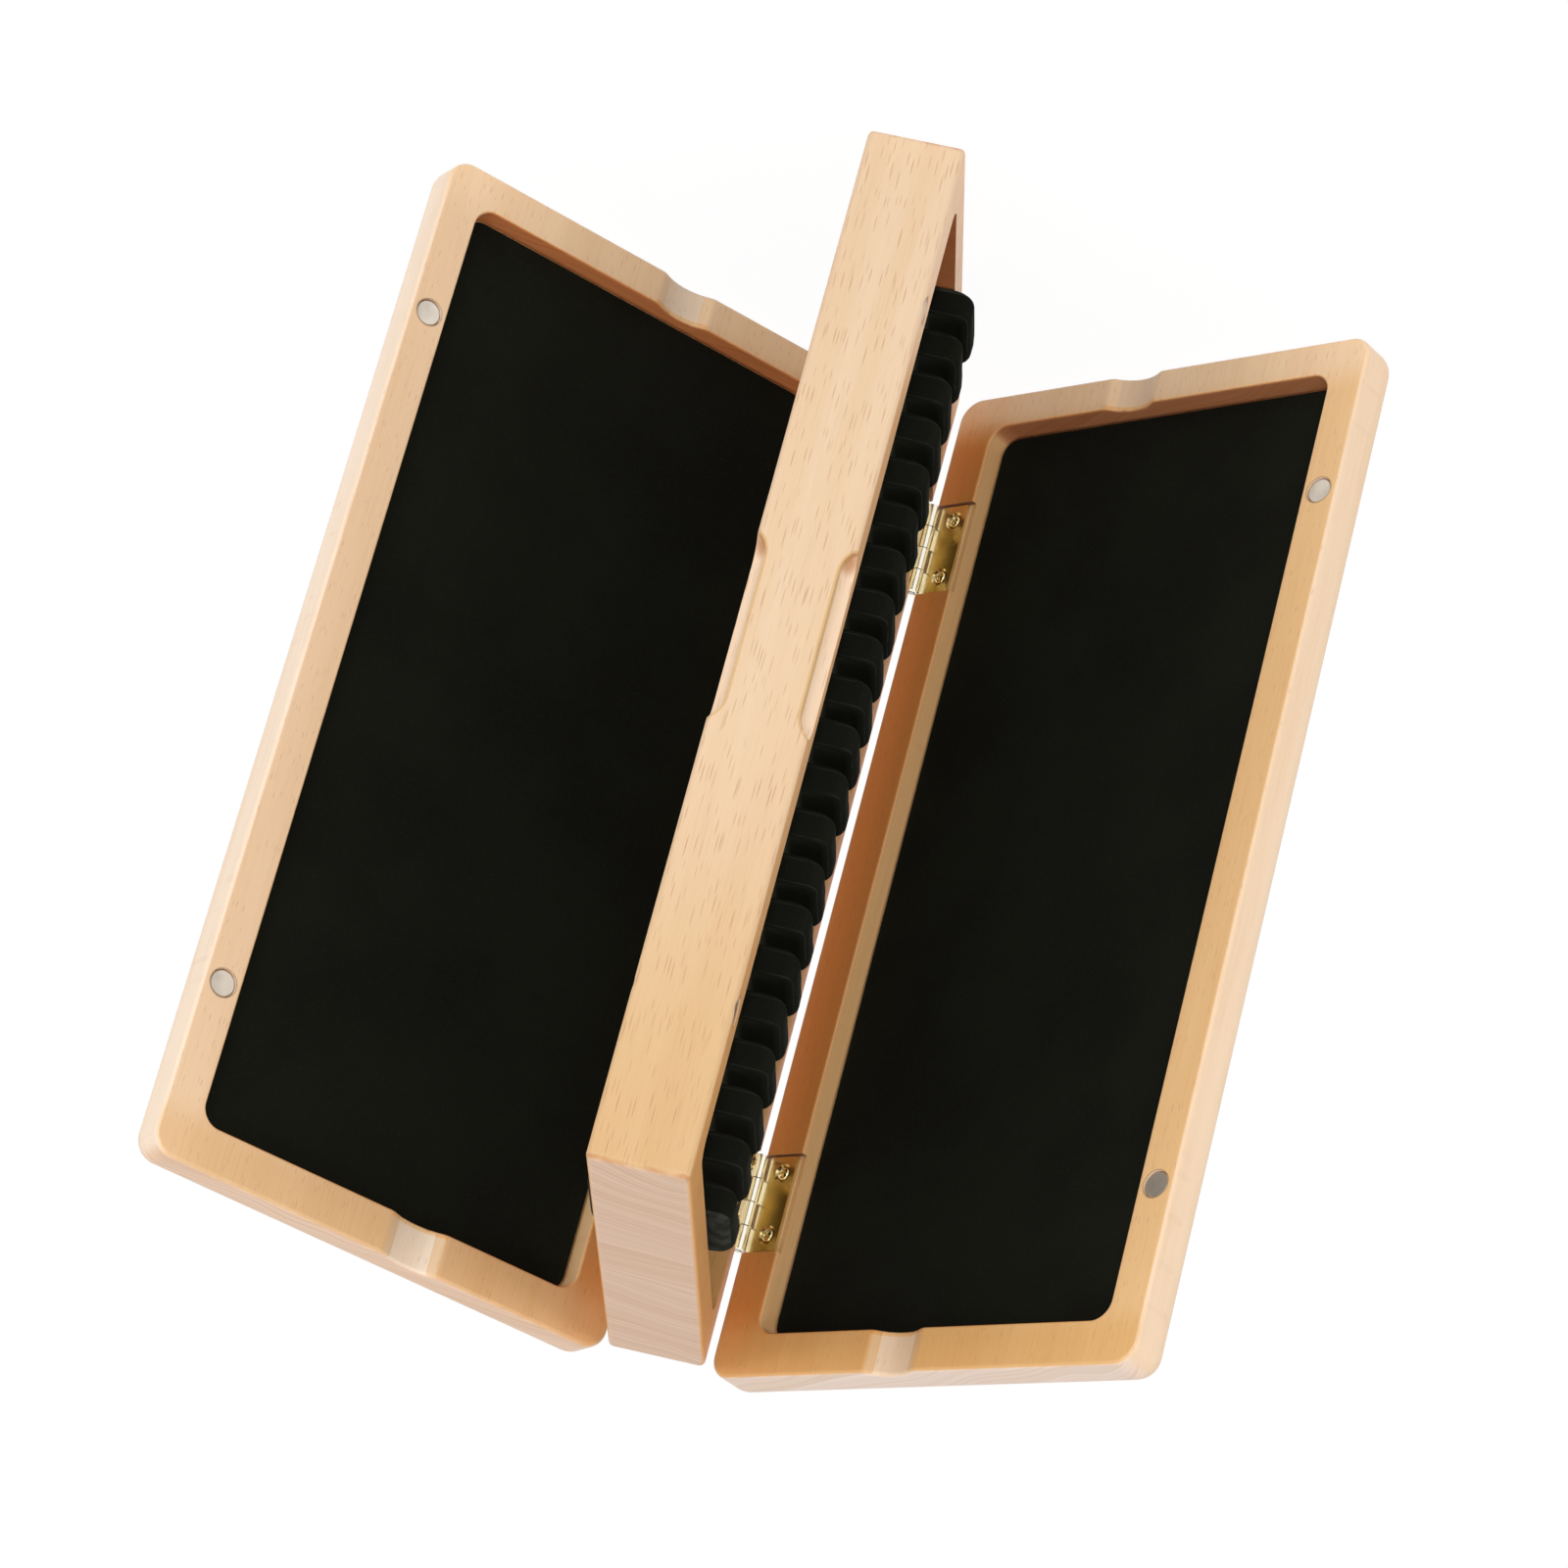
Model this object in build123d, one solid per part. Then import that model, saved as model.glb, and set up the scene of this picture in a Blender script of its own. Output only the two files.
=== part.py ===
from build123d import *
import os
from math import cos, pi, sin, sqrt

# Reed case of three hinged leaves, in millimetres. It stands on one short end, opened like a book: Z is its
# length, Y runs from the front edge to the hinged back edge, X crosses the thickness of the middle frame.
# The origin is the centre of the frame's lower end. Everything is drawn for the right side, with the lid
# shut, and then turned open about its hinge pins and mirrored for the left side.

# The three leaves
case_length = 215.0
case_width = 100.0
frame_thickness = 19.0
lid_thickness = 10.8
lid_overhang = 0.9            # of a shut lid's free edge past the frame's front
lid_top_overhang = 1.4        # of a lid past the frame's upper end
lid_back_overhang = 0.8       # of a shut lid past the frame's back, short of the pins
lid_gap = 0.6                 # air between a shut lid and the frame
left_lid_open = 52.25         # degrees, as the case stands
right_lid_open = 54.8         # degrees

# Middle frame
front_rail = 8.7              # from the front edge to the pocket
back_rail = 8.7
end_rail = 7.8
frame_web = 3.0               # wood left between the two pockets
pocket_corner = 4.0
frame_edge_round = 1.2
lining_thickness = 1.2        # velvet on card
lining_clearance = 0.4        # from a lining's edge to the wall beside it

# Thumb groove in each long edge of the frame's front
groove_length = 39.0
groove_depth = 2.5            # in from the frame's side
groove_radius = 6.0           # of the round-nosed cutter

# Lid
free_rim = 8.2                # rim along the edge that opens
hinge_rim = 9.4
end_rim = 7.6                 # at the lower end; the upper one has the overhang too
lid_corner = 4.8
lid_outer_round = 4.7         # round-over of the outer face
lid_edge_round = 0.8          # outer edge on the rim's side
recess_depth = 5.4
recess_corner = 4.0
recess_edge_round = 0.5
panel_thickness = 1.0         # velvet on card in the recess

# Finger scoop across each short rim of a lid
scoop_radius = 10.0
scoop_depth = 1.9
scoop_end_round = 3.0
scoop_from_back = 43.5        # from the hinged edge to the scoop's middle

# Ribbed velvet bar
slot_count = 20               # reeds on each side
slot_width = 3.5
bar_width = 19.3
bar_from_front = 40.9         # from the frame's front edge to the bar
bar_proud = 4.7               # height above the frame's side
bar_base = 3.0                # under the slots
bar_base_inset = 0.6          # the base is this much narrower than the ridges
bar_foot_clearance = 0.3      # from the pocket's lower end
bar_top_clearance = 1.8
ridge_round = 2.4
ridge_round_limit_share = 0.42    # of a ridge's thickness

# Butt hinges
hinge_from_end = 35.0         # from a short end to a hinge's middle
hinge_overhang = 1.25         # from the back edge to the pin's axis
leaf_height = 20.0
leaf_thickness = 0.8
leaf_sink = 0.5               # from the wood's face down to the leaf
leaf_reach = 7.2              # in from the back edge
leaf_side_clearance = 0.3     # beside the leaf in its mortise
knuckle_count = 4             # from the lower end: frame, lid, frame, lid
knuckle_gap = 0.2
knuckle_clearance = 0.25      # from a knuckle to the notch in the other leaf
pin_clearance = 0.05
pin_end_bevel = 0.2

# Hinge screws, with domed heads in countersunk holes
screw_spacing = 13.0
screw_from_back = 4.4
screw_head_radius = 1.4
screw_dome = 0.9
screw_dome_steps = 3          # straight runs that stand for the dome's arc
screw_shank_radius = 0.75
screw_length = 6.5            # under the head's rim
screw_point = 1.6
screw_head_cone = 0.6
sink_radius = 1.95            # countersink at the leaf's face
hole_radius = 1.05            # and at its back
pilot_clearance = 0.05

# Disc magnets
magnet_radius = 2.6
magnet_thickness = 2.0
magnet_sunk = 0.3             # below the wood's face
magnet_clearance = 0.15
magnet_from_front = 3.4       # from the free edge to the magnet's middle
magnet_from_end = 34.3
magnet_edge_bevel = 0.2

overrun = 1.0                 # of a cut past the face that it opens
upright_share = 0.1           # a face whose normal leans less than this towards X is a wall

# Places that follow from the sizes
front_y = -case_width / 2
back_y = case_width / 2
frame_side_x = frame_thickness / 2
lid_face_x = frame_side_x + lid_gap
web_side_x = frame_web / 2
lining_face_x = web_side_x + lining_thickness
panel_back_x = lid_face_x + recess_depth
axis_x = frame_side_x + lid_gap / 2
axis_y = back_y + hinge_overhang
mid_z = case_length / 2
pocket_length = case_length - 2 * end_rail
pocket_width = case_width - front_rail - back_rail
pocket_y = (front_rail - back_rail) / 2
recess_length = case_length - 2 * end_rim
lid_width = case_width + lid_overhang + lid_back_overhang
lid_y = (lid_back_overhang - lid_overhang) / 2
lid_length = case_length + lid_top_overhang
lid_z = lid_length / 2
recess_width = lid_width - free_rim - hinge_rim
recess_y = lid_y + (free_rim - hinge_rim) / 2
mortise_depth = leaf_sink + leaf_thickness
barrel_radius = lid_gap / 2 + mortise_depth      # the knuckles are rolled flush with the leaf's back
bore_radius = barrel_radius - leaf_thickness
pin_radius = bore_radius - pin_clearance
magnet_y = front_y + magnet_from_front
magnet_seat_depth = magnet_sunk + magnet_thickness
hinge_heights = {"lower": hinge_from_end, "upper": case_length - hinge_from_end}
magnet_heights = {"lower": magnet_from_end, "upper": case_length - magnet_from_end}
lid_openings = {"left": left_lid_open, "right": right_lid_open}


def side_plate(x, y, z, width, length, corner, thickness):
    """Plate with rounded corners, from x outwards, width along Y and length along Z."""
    outline = Plane.YZ.offset(x) * Pos(y, z) * RectangleRounded(width, length, corner)
    return extrude(outline, thickness)


def cylinder_in_x(x, y, z, radius, depth):
    """Cylinder from x outwards."""
    return extrude(Plane.YZ.offset(x) * Pos(y, z) * Circle(radius), depth)


def block(x, y, z, depth, width, height):
    """Block from a face at x outwards and from y backwards, centred on the height z."""
    return Pos(x, y, z) * Box(depth, width, height, align=(Align.MIN, Align.MIN, Align.CENTER))


# Wood

def thumb_groove():
    """Path of a round-nosed cutter along the edge between the frame's front and its side."""
    end_run = sqrt(groove_radius ** 2 - (groove_radius - groove_depth) ** 2)
    travel = groove_length - 2 * end_run
    centre_x = frame_side_x - groove_depth + groove_radius
    path = Pos(centre_x, front_y, mid_z) * Cylinder(groove_radius, travel)
    for end in (-travel / 2, travel / 2):
        path = path + Pos(centre_x, front_y, mid_z + end) * Sphere(groove_radius)
    return path


def screw_places(z):
    """Height and depth from the back of the two screws of a hinge at height z."""
    return [(back_y - screw_from_back, z - screw_spacing / 2), (back_y - screw_from_back, z + screw_spacing / 2)]


def frame_side_cuts():
    """All that is cut into the frame's right side."""
    depth = frame_side_x - web_side_x + overrun
    cuts = [side_plate(web_side_x, pocket_y, mid_z, pocket_width, pocket_length, pocket_corner, depth)]
    cuts.append(thumb_groove())
    floor_x = frame_side_x - mortise_depth
    height = leaf_height + 2 * leaf_side_clearance
    for z in hinge_heights.values():
        cuts.append(block(floor_x, back_y - back_rail - overrun, z, mortise_depth + overrun,
                          back_rail + 2 * overrun, height))
        for y, screw_z in screw_places(z):
            cuts.append(screw_pilot().moved(Location((axis_x, y, screw_z))))
    for z in magnet_heights.values():
        cuts.append(cylinder_in_x(frame_side_x - magnet_seat_depth, magnet_y, z, magnet_radius + magnet_clearance,
                                  magnet_seat_depth + overrun))
    return cuts


def make_middle_frame():
    board = Box(frame_thickness, case_width, case_length, align=(Align.CENTER, Align.CENTER, Align.MIN))
    board = fillet(board.edges(), frame_edge_round)
    for cut in frame_side_cuts():
        board = board - cut - mirror(cut, about=Plane.YZ)
    return board


def finger_scoops():
    """Cutter for the scoops across both short rims, with their ends rounded into the rim."""
    scoop_y = back_y - scoop_from_back
    centre_x = lid_face_x + scoop_depth - scoop_radius
    half_chord = sqrt(scoop_radius ** 2 - (scoop_radius - scoop_depth) ** 2)
    bottom = Plane.XY * Pos(centre_x, scoop_y) * Circle(scoop_radius)
    shoulder = 2 * (half_chord + scoop_end_round)
    air = Plane.XY * Pos(lid_face_x - scoop_radius / 2, scoop_y) * Rectangle(scoop_radius, shoulder)
    outline = bottom + air
    corners = [v for v in outline.vertices()
               if abs(v.X - lid_face_x) < scoop_depth / 2 and abs(abs(v.Y - scoop_y) - half_chord) < scoop_depth / 2]
    outline = fillet(corners, scoop_end_round)
    return Pos(0, 0, -overrun) * extrude(outline, lid_length + 2 * overrun)


def rim_edges(board, outer):
    """Edges of the rim with its scoops, along the lid's outline or else along the recess."""
    found = []
    for wall in board.faces():
        normal = wall.normal_at()
        outwards = normal.dot(wall.center() - Vector(0, 0, mid_z)) > 0
        if abs(normal.X) < upright_share and outwards == outer:
            found += [edge for edge in wall.edges() if edge.center().X < lid_face_x + scoop_depth]
    return found


def make_lid():
    board = side_plate(lid_face_x, lid_y, lid_z, lid_width, lid_length, lid_corner, lid_thickness)
    outer_face = board.faces().sort_by(Axis.X)[-1]
    board = fillet(outer_face.edges(), lid_outer_round)
    board = board - side_plate(lid_face_x - overrun, recess_y, mid_z, recess_width, recess_length, recess_corner,
                               recess_depth + overrun)
    board = board - finger_scoops()
    board = fillet(rim_edges(board, True), lid_edge_round)
    board = fillet(rim_edges(board, False), recess_edge_round)
    height = leaf_height + 2 * leaf_side_clearance
    for z in hinge_heights.values():
        board = board - block(lid_face_x - overrun, back_y + lid_back_overhang - hinge_rim - overrun, z,
                              mortise_depth + overrun, hinge_rim + 2 * overrun, height)
        for y, screw_z in screw_places(z):
            board = board - turned_to_lid(screw_pilot()).moved(Location((axis_x, y, screw_z)))
    for z in magnet_heights.values():
        board = board - cylinder_in_x(lid_face_x - overrun, magnet_y, z, magnet_radius + magnet_clearance,
                                      magnet_seat_depth + overrun)
    return board


# Hinges, drawn around the pin's axis with the frame's leaf on the -X side

def turned_to_lid(shape):
    """The same hinge piece on the lid's side of the pin."""
    return mirror(shape, about=Plane.YZ)


def hinge_leaf(first_knuckle):
    """Leaf with every other knuckle, starting with the one given."""
    back_x = -barrel_radius
    tip_y = -hinge_overhang - leaf_reach
    leaf = block(back_x, tip_y, 0, leaf_thickness, -tip_y, leaf_height)
    knuckle_length = leaf_height / knuckle_count
    for i in range(knuckle_count):
        z = (i + 0.5) * knuckle_length - leaf_height / 2
        if i % 2 == first_knuckle:
            leaf = leaf + Pos(0, 0, z) * Cylinder(barrel_radius, knuckle_length - knuckle_gap)
            continue
        edge_y = -barrel_radius - knuckle_clearance
        leaf = leaf - block(back_x - overrun, edge_y, z, leaf_thickness + 2 * overrun, -edge_y + overrun,
                            knuckle_length + knuckle_gap)
    leaf = leaf - Cylinder(bore_radius, leaf_height + overrun)
    screw_y = hinge_overhang + screw_from_back
    for z in (-screw_spacing / 2, screw_spacing / 2):
        sink = Cone(hole_radius, sink_radius, leaf_thickness, align=(Align.CENTER, Align.CENTER, Align.MIN))
        leaf = leaf - Pos(back_x, -screw_y, z) * Rot(0, 90, 0) * sink
    return leaf


def screw_rim_x():
    """Where the rim of a screw's head meets the countersink."""
    taper = (sink_radius - hole_radius) / leaf_thickness
    return -barrel_radius + (screw_head_radius + pilot_clearance - hole_radius) / taper


def screw_profile(growth):
    """Half outline of a screw, all round larger by the growth."""
    head = screw_head_radius + growth
    shank = screw_shank_radius + growth
    tip = -screw_length - growth
    angles = [pi / 2 * i / screw_dome_steps for i in range(screw_dome_steps)]
    dome = [(head * sin(angle), screw_dome * cos(angle)) for angle in angles]
    rest = [(head, 0), (shank, -screw_head_cone), (shank, tip + screw_point), (0, tip)]
    return make_face(Polyline(*dome, *rest, close=True))


def turned_screw(growth):
    """Screw along X with its head towards +X, around the pin's axis in X only."""
    solid = revolve(Plane.XZ * screw_profile(growth), Axis.Z)
    return Pos(screw_rim_x(), 0, 0) * Rot(0, 90, 0) * solid


def screw_pilot():
    return turned_screw(pilot_clearance)


def screw_pair():
    screw = turned_screw(0)
    places = screw_places(0)
    return [screw.moved(Location((0, y - axis_y, z))) for y, z in places]


def hinge_pin():
    pin = Cylinder(pin_radius, leaf_height)
    return chamfer(pin.edges().filter_by(GeomType.CIRCLE), pin_end_bevel)


# Magnets and velvet

def magnet():
    """Disc along X, its outer face at zero and its body towards -X."""
    disc = cylinder_in_x(-magnet_thickness, 0, 0, magnet_radius, magnet_thickness)
    return chamfer(disc.edges().filter_by(GeomType.CIRCLE), magnet_edge_bevel)


def make_pocket_lining():
    return side_plate(web_side_x, pocket_y, mid_z, pocket_width - 2 * lining_clearance,
                      pocket_length - 2 * lining_clearance, pocket_corner - lining_clearance, lining_thickness)


def make_lid_lining():
    return side_plate(panel_back_x - panel_thickness, recess_y, mid_z, recess_width - 2 * lining_clearance,
                      recess_length - 2 * lining_clearance, recess_corner - lining_clearance, panel_thickness)


def padded_ridge(y, z, length, height, round_over):
    """Ridge on the pocket's lining, rounded in all three views."""
    plan = side_plate(lining_face_x, y, z, bar_width, length, round_over, height)
    across = Plane.XZ.offset(-y) * Pos(lining_face_x, z) * RectangleRounded(2 * height, length, round_over)
    along = Plane.XY.offset(z) * Pos(lining_face_x, y) * RectangleRounded(2 * height, bar_width, round_over)
    return plan & extrude(across, bar_width, both=True) & extrude(along, length, both=True)


def make_reed_bar():
    """Padded ridges on one base, a slot for a reed's tube between every two."""
    bar_length = pocket_length - bar_foot_clearance - bar_top_clearance
    bar_z = end_rail + bar_foot_clearance + bar_length / 2
    pitch = (bar_length + slot_width) / (slot_count + 1)
    ridge = pitch - slot_width
    round_over = min(ridge_round, ridge * ridge_round_limit_share)
    bar_y = front_y + bar_from_front + bar_width / 2
    height = frame_side_x + bar_proud - lining_face_x
    bar = side_plate(lining_face_x, bar_y, bar_z, bar_width - 2 * bar_base_inset, bar_length - 2 * bar_base_inset,
                     round_over, bar_base)
    for i in range(slot_count + 1):
        bar = bar + padded_ridge(bar_y, bar_z + (i - slot_count / 2) * pitch, ridge, height, round_over)
    return bar


# The assembly

def place(shape, side, opening):
    """Open the shape about the right pin's axis, and mirror it for the left side."""
    turned = shape.rotate(Axis((axis_x, axis_y, 0), (0, 0, 1)), opening)
    return mirror(turned, about=Plane.YZ) if side == "left" else turned


def put(nodes, name, shapes, side, opening):
    nodes[name] = Compound([place(shape, side, opening) for shape in shapes])


def assemble():
    nodes = {"middle_frame": make_middle_frame()}
    frame_leaf = hinge_leaf(0)
    lid_leaf = turned_to_lid(hinge_leaf(1))
    frame_screws = screw_pair()
    lid_screws = [turned_to_lid(screw) for screw in screw_pair()]
    for side, opening in lid_openings.items():
        put(nodes, f"{side}_pocket_lining", [make_pocket_lining()], side, 0)
        put(nodes, f"{side}_reed_bar", [make_reed_bar()], side, 0)
        put(nodes, f"{side}_lid", [make_lid()], side, opening)
        put(nodes, f"{side}_lid_lining", [make_lid_lining()], side, opening)
        for level, z in hinge_heights.items():
            at_pin = Location((axis_x, axis_y, z))
            put(nodes, f"{side}_frame_leaf_{level}", [frame_leaf.moved(at_pin)], side, 0)
            put(nodes, f"{side}_lid_leaf_{level}", [lid_leaf.moved(at_pin)], side, opening)
            put(nodes, f"{side}_hinge_pin_{level}", [hinge_pin().moved(at_pin)], side, 0)
            put(nodes, f"{side}_frame_screws_{level}", [s.moved(at_pin) for s in frame_screws], side, 0)
            put(nodes, f"{side}_lid_screws_{level}", [s.moved(at_pin) for s in lid_screws], side, opening)
        for level, z in magnet_heights.items():
            in_frame = magnet().moved(Location((frame_side_x - magnet_sunk, magnet_y, z)))
            in_lid = turned_to_lid(magnet()).moved(Location((lid_face_x + magnet_sunk, magnet_y, z)))
            put(nodes, f"{side}_frame_magnet_{level}", [in_frame], side, 0)
            put(nodes, f"{side}_lid_magnet_{level}", [in_lid], side, opening)
    return nodes


os.makedirs("parts", exist_ok=True)
for name, shape in assemble().items():
    export_step(shape, f"parts/{name}.step")
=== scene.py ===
import math
import random
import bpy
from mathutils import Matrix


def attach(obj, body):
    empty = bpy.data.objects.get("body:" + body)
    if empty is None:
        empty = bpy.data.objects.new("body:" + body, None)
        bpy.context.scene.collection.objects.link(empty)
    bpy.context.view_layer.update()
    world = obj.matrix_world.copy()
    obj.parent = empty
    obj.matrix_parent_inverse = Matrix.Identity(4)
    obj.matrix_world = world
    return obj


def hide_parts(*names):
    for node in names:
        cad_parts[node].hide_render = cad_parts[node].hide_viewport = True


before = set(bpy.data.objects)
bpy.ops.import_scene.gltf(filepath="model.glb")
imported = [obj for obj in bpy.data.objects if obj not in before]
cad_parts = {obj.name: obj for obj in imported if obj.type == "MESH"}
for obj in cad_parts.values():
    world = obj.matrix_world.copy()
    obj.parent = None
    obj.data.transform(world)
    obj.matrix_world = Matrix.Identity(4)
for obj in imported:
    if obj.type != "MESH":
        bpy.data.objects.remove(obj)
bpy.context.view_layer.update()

from types import SimpleNamespace

import bmesh
import bpy
from mathutils import Matrix, Vector, noise

# Reed case of three hinged leaves. Lengths here are in millimetres in the part's own frame, and turn into
# metres where a mesh is made. Soft pieces are drawn for the right side with the lid shut, as in the part's
# source, then turned open about the hinge pin and mirrored for the left side.

MM = 0.001
OPENING = {"left": 52.25, "right": 54.8}       # how far each lid stands open, in degrees
LEVELS = ("lower", "upper")

# Sizes repeated from the part's source
case_length, case_width, frame_thickness = 215.0, 100.0, 19.0
lid_gap = 0.6
lid_overhang, lid_back_overhang = 0.9, 0.8
front_rail, back_rail, end_rail = 8.7, 8.7, 7.8
pocket_corner = 4.0
frame_web = 3.0
lining_thickness = 1.2
lining_clearance = 0.4
groove_length, groove_depth, groove_radius = 39.0, 2.5, 6.0
free_rim, hinge_rim, end_rim = 8.2, 9.4, 7.6
recess_depth, recess_corner = 5.4, 4.0
panel_thickness = 1.0
slot_count, slot_width = 20, 3.5
bar_width, bar_from_front, bar_proud, bar_base = 19.3, 40.9, 4.7, 3.0
bar_foot_clearance, bar_top_clearance = 0.3, 1.8
ridge_round, ridge_corner = 2.1, 2.4
magnet_y, magnet_from_end, magnet_seat = -46.6, 34.3, 2.75
hinge_overhang, hinge_from_end = 1.25, 35.0
screw_spacing, screw_from_back = 13.0, 4.4
screw_head, screw_dome, screw_shank, screw_cone = 1.4, 0.9, 0.75, 0.6
screw_length, screw_point = 6.5, 1.6
screw_rim_depth = 1.2445                       # from the pin's axis to the rim of a screw's head

# Details drawn here alone
panel_insets = (0.0, 0.0, 0.08, 0.22, 0.42, 0.75, 1.4, 3.0, 6.0, 11.0, 18.0, 26.0)
panel_rises = (0.0, 0.5, 0.72, 0.88, 0.96, 1.0, 1.0, 1.0, 1.0, 1.0, 1.0, 1.0)       # shares of the thickness
panel_corner_steps, panel_run_points = 5, 14
panel_edge_wave, panel_face_wave, panel_sink = 0.12, 0.10, 0.14
ridge_turns = (0, 15, 30, 41, 45, 49, 60, 75, 90)   # degrees round a ridge's edge
sheen_turn = 45                                 # where on the edge a sheen line is painted
ridge_shift, ridge_growth, ridge_drop, ridge_lean = 0.12, (-0.12, 0.06), 0.25, (-0.07, 0.12)
end_foot = (0.5, 0.9, 1.6)                     # of the bar's ends: inset, narrowing, corner
slot_foot = (-0.15, 0.75, 0.9)                 # of a ridge beside a slot: the same
slot_floor = (0.15, 0.95, 0.9)                 # of a slot: sink, narrowing, corner
low_flank = ((0.05, 0.5, 0.45, 1.5), (0.02, 2.2, 0.12, 2.2))       # inset, rise, narrowing, corner
bar_wave, bar_taper, bar_corner_steps = 0.14, 0.012, 6
screw_sides, dome_steps, screw_tip = 64, 13, 0.02
cross_half_width, cross_reach, cross_depth, cross_bevel = 0.17, 0.78, 0.34, 0.12
cross_rise = 0.35                              # share of the cross's depth that is lost at its ends

frame_side_x = frame_thickness / 2
lid_face_x = frame_side_x + lid_gap
groove_travel = groove_length - 2 * math.sqrt(groove_radius ** 2 - (groove_radius - groove_depth) ** 2)
lining_face_x = frame_web / 2 + lining_thickness
panel_back_x = lid_face_x + recess_depth
axis_x = frame_side_x + lid_gap / 2
axis_y = case_width / 2 + hinge_overhang
mid_z = case_length / 2
lid_width = case_width + lid_overhang + lid_back_overhang
pocket_size = (case_width - front_rail - back_rail, case_length - 2 * end_rail)
pocket_y = (front_rail - back_rail) / 2
recess_size = (lid_width - free_rim - hinge_rim, case_length - 2 * end_rim)
recess_y = (lid_back_overhang - lid_overhang + free_rim - hinge_rim) / 2


# Camera, at the photograph's angle: the case stands on the end that is uppermost in the picture

def make_camera():
    data = bpy.data.cameras.new("camera")
    data.sensor_width = 36.0
    data.lens = 139.92
    data.clip_start = 0.05
    data.clip_end = 50.0
    camera = bpy.data.objects.new("camera", data)
    bpy.context.collection.objects.link(camera)
    right = (-0.97107069, 0.01457853, -0.23834676)
    up = (0.21068888, -0.41748192, -0.88392253)
    back = (-0.11239176, -0.90856828, 0.40233292)
    place = Vector((-131.11301418, -1049.58384414, 579.5407306)) * MM
    turn = Matrix((right, up, back)).transposed().to_4x4()
    camera.matrix_world = Matrix.Translation(place) @ turn
    bpy.context.scene.camera = camera


# Node graphs

def add(tree, kind, values=None, **settings):
    """A node with its settings; a value that is a socket is linked."""
    node = tree.nodes.new(kind)
    for key, value in settings.items():
        setattr(node, key, value)
    for key, value in (values or {}).items():
        if isinstance(value, bpy.types.NodeSocket):
            tree.links.new(value, node.inputs[key])
        else:
            node.inputs[key].default_value = value
    return node


def calc(tree, operation, *values, clamp=False):
    return add(tree, "ShaderNodeMath", dict(enumerate(values)), operation=operation, use_clamp=clamp).outputs[0]


def span(tree, value, low, high, to_low=0.0, to_high=1.0):
    """The value's way from low to high, smoothed and held at both ends."""
    values = {"Value": value, "From Min": low, "From Max": high, "To Min": to_low, "To Max": to_high}
    return add(tree, "ShaderNodeMapRange", values, interpolation_type="SMOOTHSTEP").outputs["Result"]


def mix(tree, share, first, second, blend="MIX"):
    node = add(tree, "ShaderNodeMix", {0: share}, data_type="RGBA", blend_type=blend)
    for index, value in ((6, first), (7, second)):
        if isinstance(value, bpy.types.NodeSocket):
            tree.links.new(value, node.inputs[index])
        else:
            node.inputs[index].default_value = (*value, 1.0)
    return node.outputs[2]


def linear(red, green, blue):
    """A colour as it shows in a picture, 0 to 255, in the renderer's own values."""
    return tuple((v / 255 / 12.92) if v < 11 else ((v / 255 + 0.055) / 1.055) ** 2.4 for v in (red, green, blue))


def new_material(name):
    material = bpy.data.materials.new(name)
    material.use_nodes = True
    tree = material.node_tree
    tree.nodes.clear()
    shader = tree.nodes.new("ShaderNodeBsdfPrincipled")
    out = tree.nodes.new("ShaderNodeOutputMaterial")
    tree.links.new(shader.outputs[0], out.inputs[0])
    return material, tree, shader


def shut_place(tree, angle, centre_x):
    """Where a point of a leaf lies while the case is shut, in metres."""
    place = tree.nodes.new("ShaderNodeTexCoord").outputs["Object"]
    centre = (centre_x * MM, axis_y * MM, 0.0)
    return add(tree, "ShaderNodeVectorRotate", {"Vector": place, "Center": centre, "Angle": math.radians(angle)},
               rotation_type="Z_AXIS").outputs[0]


def scaled(tree, place, sizes):
    """The place in units of the three sizes in millimetres."""
    scale = tuple(1 / (MM * size) for size in sizes)
    return add(tree, "ShaderNodeVectorMath", {0: place, 1: scale}, operation="MULTIPLY").outputs[0]


def cloud(tree, place, sizes, detail=0.0, rough=0.5):
    return add(tree, "ShaderNodeTexNoise", {"Vector": scaled(tree, place, sizes), "Scale": 1.0, "Detail": detail,
                                            "Roughness": rough}).outputs["Fac"]


def parts_of(tree, vector):
    return add(tree, "ShaderNodeSeparateXYZ", {0: vector}).outputs


def product(tree, *values):
    result = values[0]
    for value in values[1:]:
        result = calc(tree, "MULTIPLY", result, value)
    return result


def opposite(tree, share):
    return calc(tree, "SUBTRACT", 1.0, share)


def away_from(tree, value, middle):
    return calc(tree, "ABSOLUTE", calc(tree, "SUBTRACT", value, middle))


def within(tree, value, middle, half):
    return calc(tree, "LESS_THAN", away_from(tree, value, middle), half)


def hypotenuse(tree, first, second):
    squares = [calc(tree, "POWER", side, 2.0) for side in (first, second)]
    return calc(tree, "SQRT", calc(tree, "ADD", *squares))


def dot(tree, distance, full, edge, strength):
    """The strength out to the distance full, and from there down to nothing at the distance edge."""
    return calc(tree, "SUBTRACT", strength, span(tree, distance, full, edge, 0.0, strength))


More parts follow.
